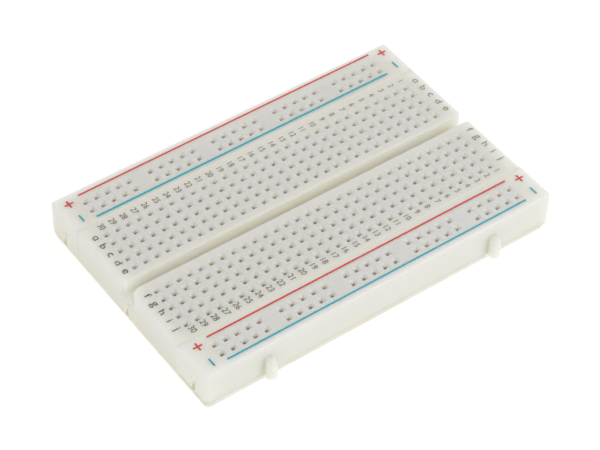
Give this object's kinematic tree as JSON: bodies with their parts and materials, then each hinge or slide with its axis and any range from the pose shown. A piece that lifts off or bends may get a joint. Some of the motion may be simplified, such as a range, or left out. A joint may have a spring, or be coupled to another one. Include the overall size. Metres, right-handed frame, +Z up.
{
  "type": "solderless breadboard",
  "caption": "Half-size solderless breadboard: a terminal block with a central ravine between two clip-on power rails, spring clips inside, on an adhesive foam pad.",
  "frame": {"origin": "centre of the board's base, on the underside of the release liner", "axes": "+X along the board towards column 1, +Y across it towards row a, +Z up through the top face"},
  "size_m": [0.0847, 0.0567, 0.0089],
  "materials": {
    "ivory_plastic": "satin moulded ABS, slightly translucent ivory white",
    "spring_metal": "bright nickel plate on stamped phosphor bronze",
    "foam": "fine closed-cell foam with adhesive on both faces",
    "liner_paper": "smooth silicone-coated paper",
    "red_ink": "screen-printed ink",
    "blue_ink": "screen-printed ink",
    "dark_ink": "screen-printed ink"
  },
  "bodies": {
    "root": {"main_block": "ivory_plastic", "far_power_rail": "ivory_plastic", "near_power_rail": "ivory_plastic", "bus_strip_far_negative": "spring_metal", "bus_strip_far_positive": "spring_metal", "bus_strip_near_negative": "spring_metal", "bus_strip_near_positive": "spring_metal", "terminal_clip_ae_01": "spring_metal", "terminal_clip_ae_02": "spring_metal", "terminal_clip_ae_03": "spring_metal", "terminal_clip_ae_04": "spring_metal", "terminal_clip_ae_05": "spring_metal", "terminal_clip_ae_06": "spring_metal", "terminal_clip_ae_07": "spring_metal", "terminal_clip_ae_08": "spring_metal", "terminal_clip_ae_09": "spring_metal", "terminal_clip_ae_10": "spring_metal", "terminal_clip_ae_11": "spring_metal", "terminal_clip_ae_12": "spring_metal", "terminal_clip_ae_13": "spring_metal", "terminal_clip_ae_14": "spring_metal", "terminal_clip_ae_15": "spring_metal", "terminal_clip_ae_16": "spring_metal", "terminal_clip_ae_17": "spring_metal", "terminal_clip_ae_18": "spring_metal", "terminal_clip_ae_19": "spring_metal", "terminal_clip_ae_20": "spring_metal", "terminal_clip_ae_21": "spring_metal", "terminal_clip_ae_22": "spring_metal", "terminal_clip_ae_23": "spring_metal", "terminal_clip_ae_24": "spring_metal", "terminal_clip_ae_25": "spring_metal", "terminal_clip_ae_26": "spring_metal", "terminal_clip_ae_27": "spring_metal", "terminal_clip_ae_28": "spring_metal", "terminal_clip_ae_29": "spring_metal", "terminal_clip_ae_30": "spring_metal", "terminal_clip_fj_01": "spring_metal", "terminal_clip_fj_02": "spring_metal", "terminal_clip_fj_03": "spring_metal", "terminal_clip_fj_04": "spring_metal", "terminal_clip_fj_05": "spring_metal", "terminal_clip_fj_06": "spring_metal", "terminal_clip_fj_07": "spring_metal", "terminal_clip_fj_08": "spring_metal", "terminal_clip_fj_09": "spring_metal", "terminal_clip_fj_10": "spring_metal", "terminal_clip_fj_11": "spring_metal", "terminal_clip_fj_12": "spring_metal", "terminal_clip_fj_13": "spring_metal", "terminal_clip_fj_14": "spring_metal", "terminal_clip_fj_15": "spring_metal", "terminal_clip_fj_16": "spring_metal", "terminal_clip_fj_17": "spring_metal", "terminal_clip_fj_18": "spring_metal", "terminal_clip_fj_19": "spring_metal", "terminal_clip_fj_20": "spring_metal", "terminal_clip_fj_21": "spring_metal", "foam_pad": "foam", "release_liner": "liner_paper"}
  },
  "joints": []
}
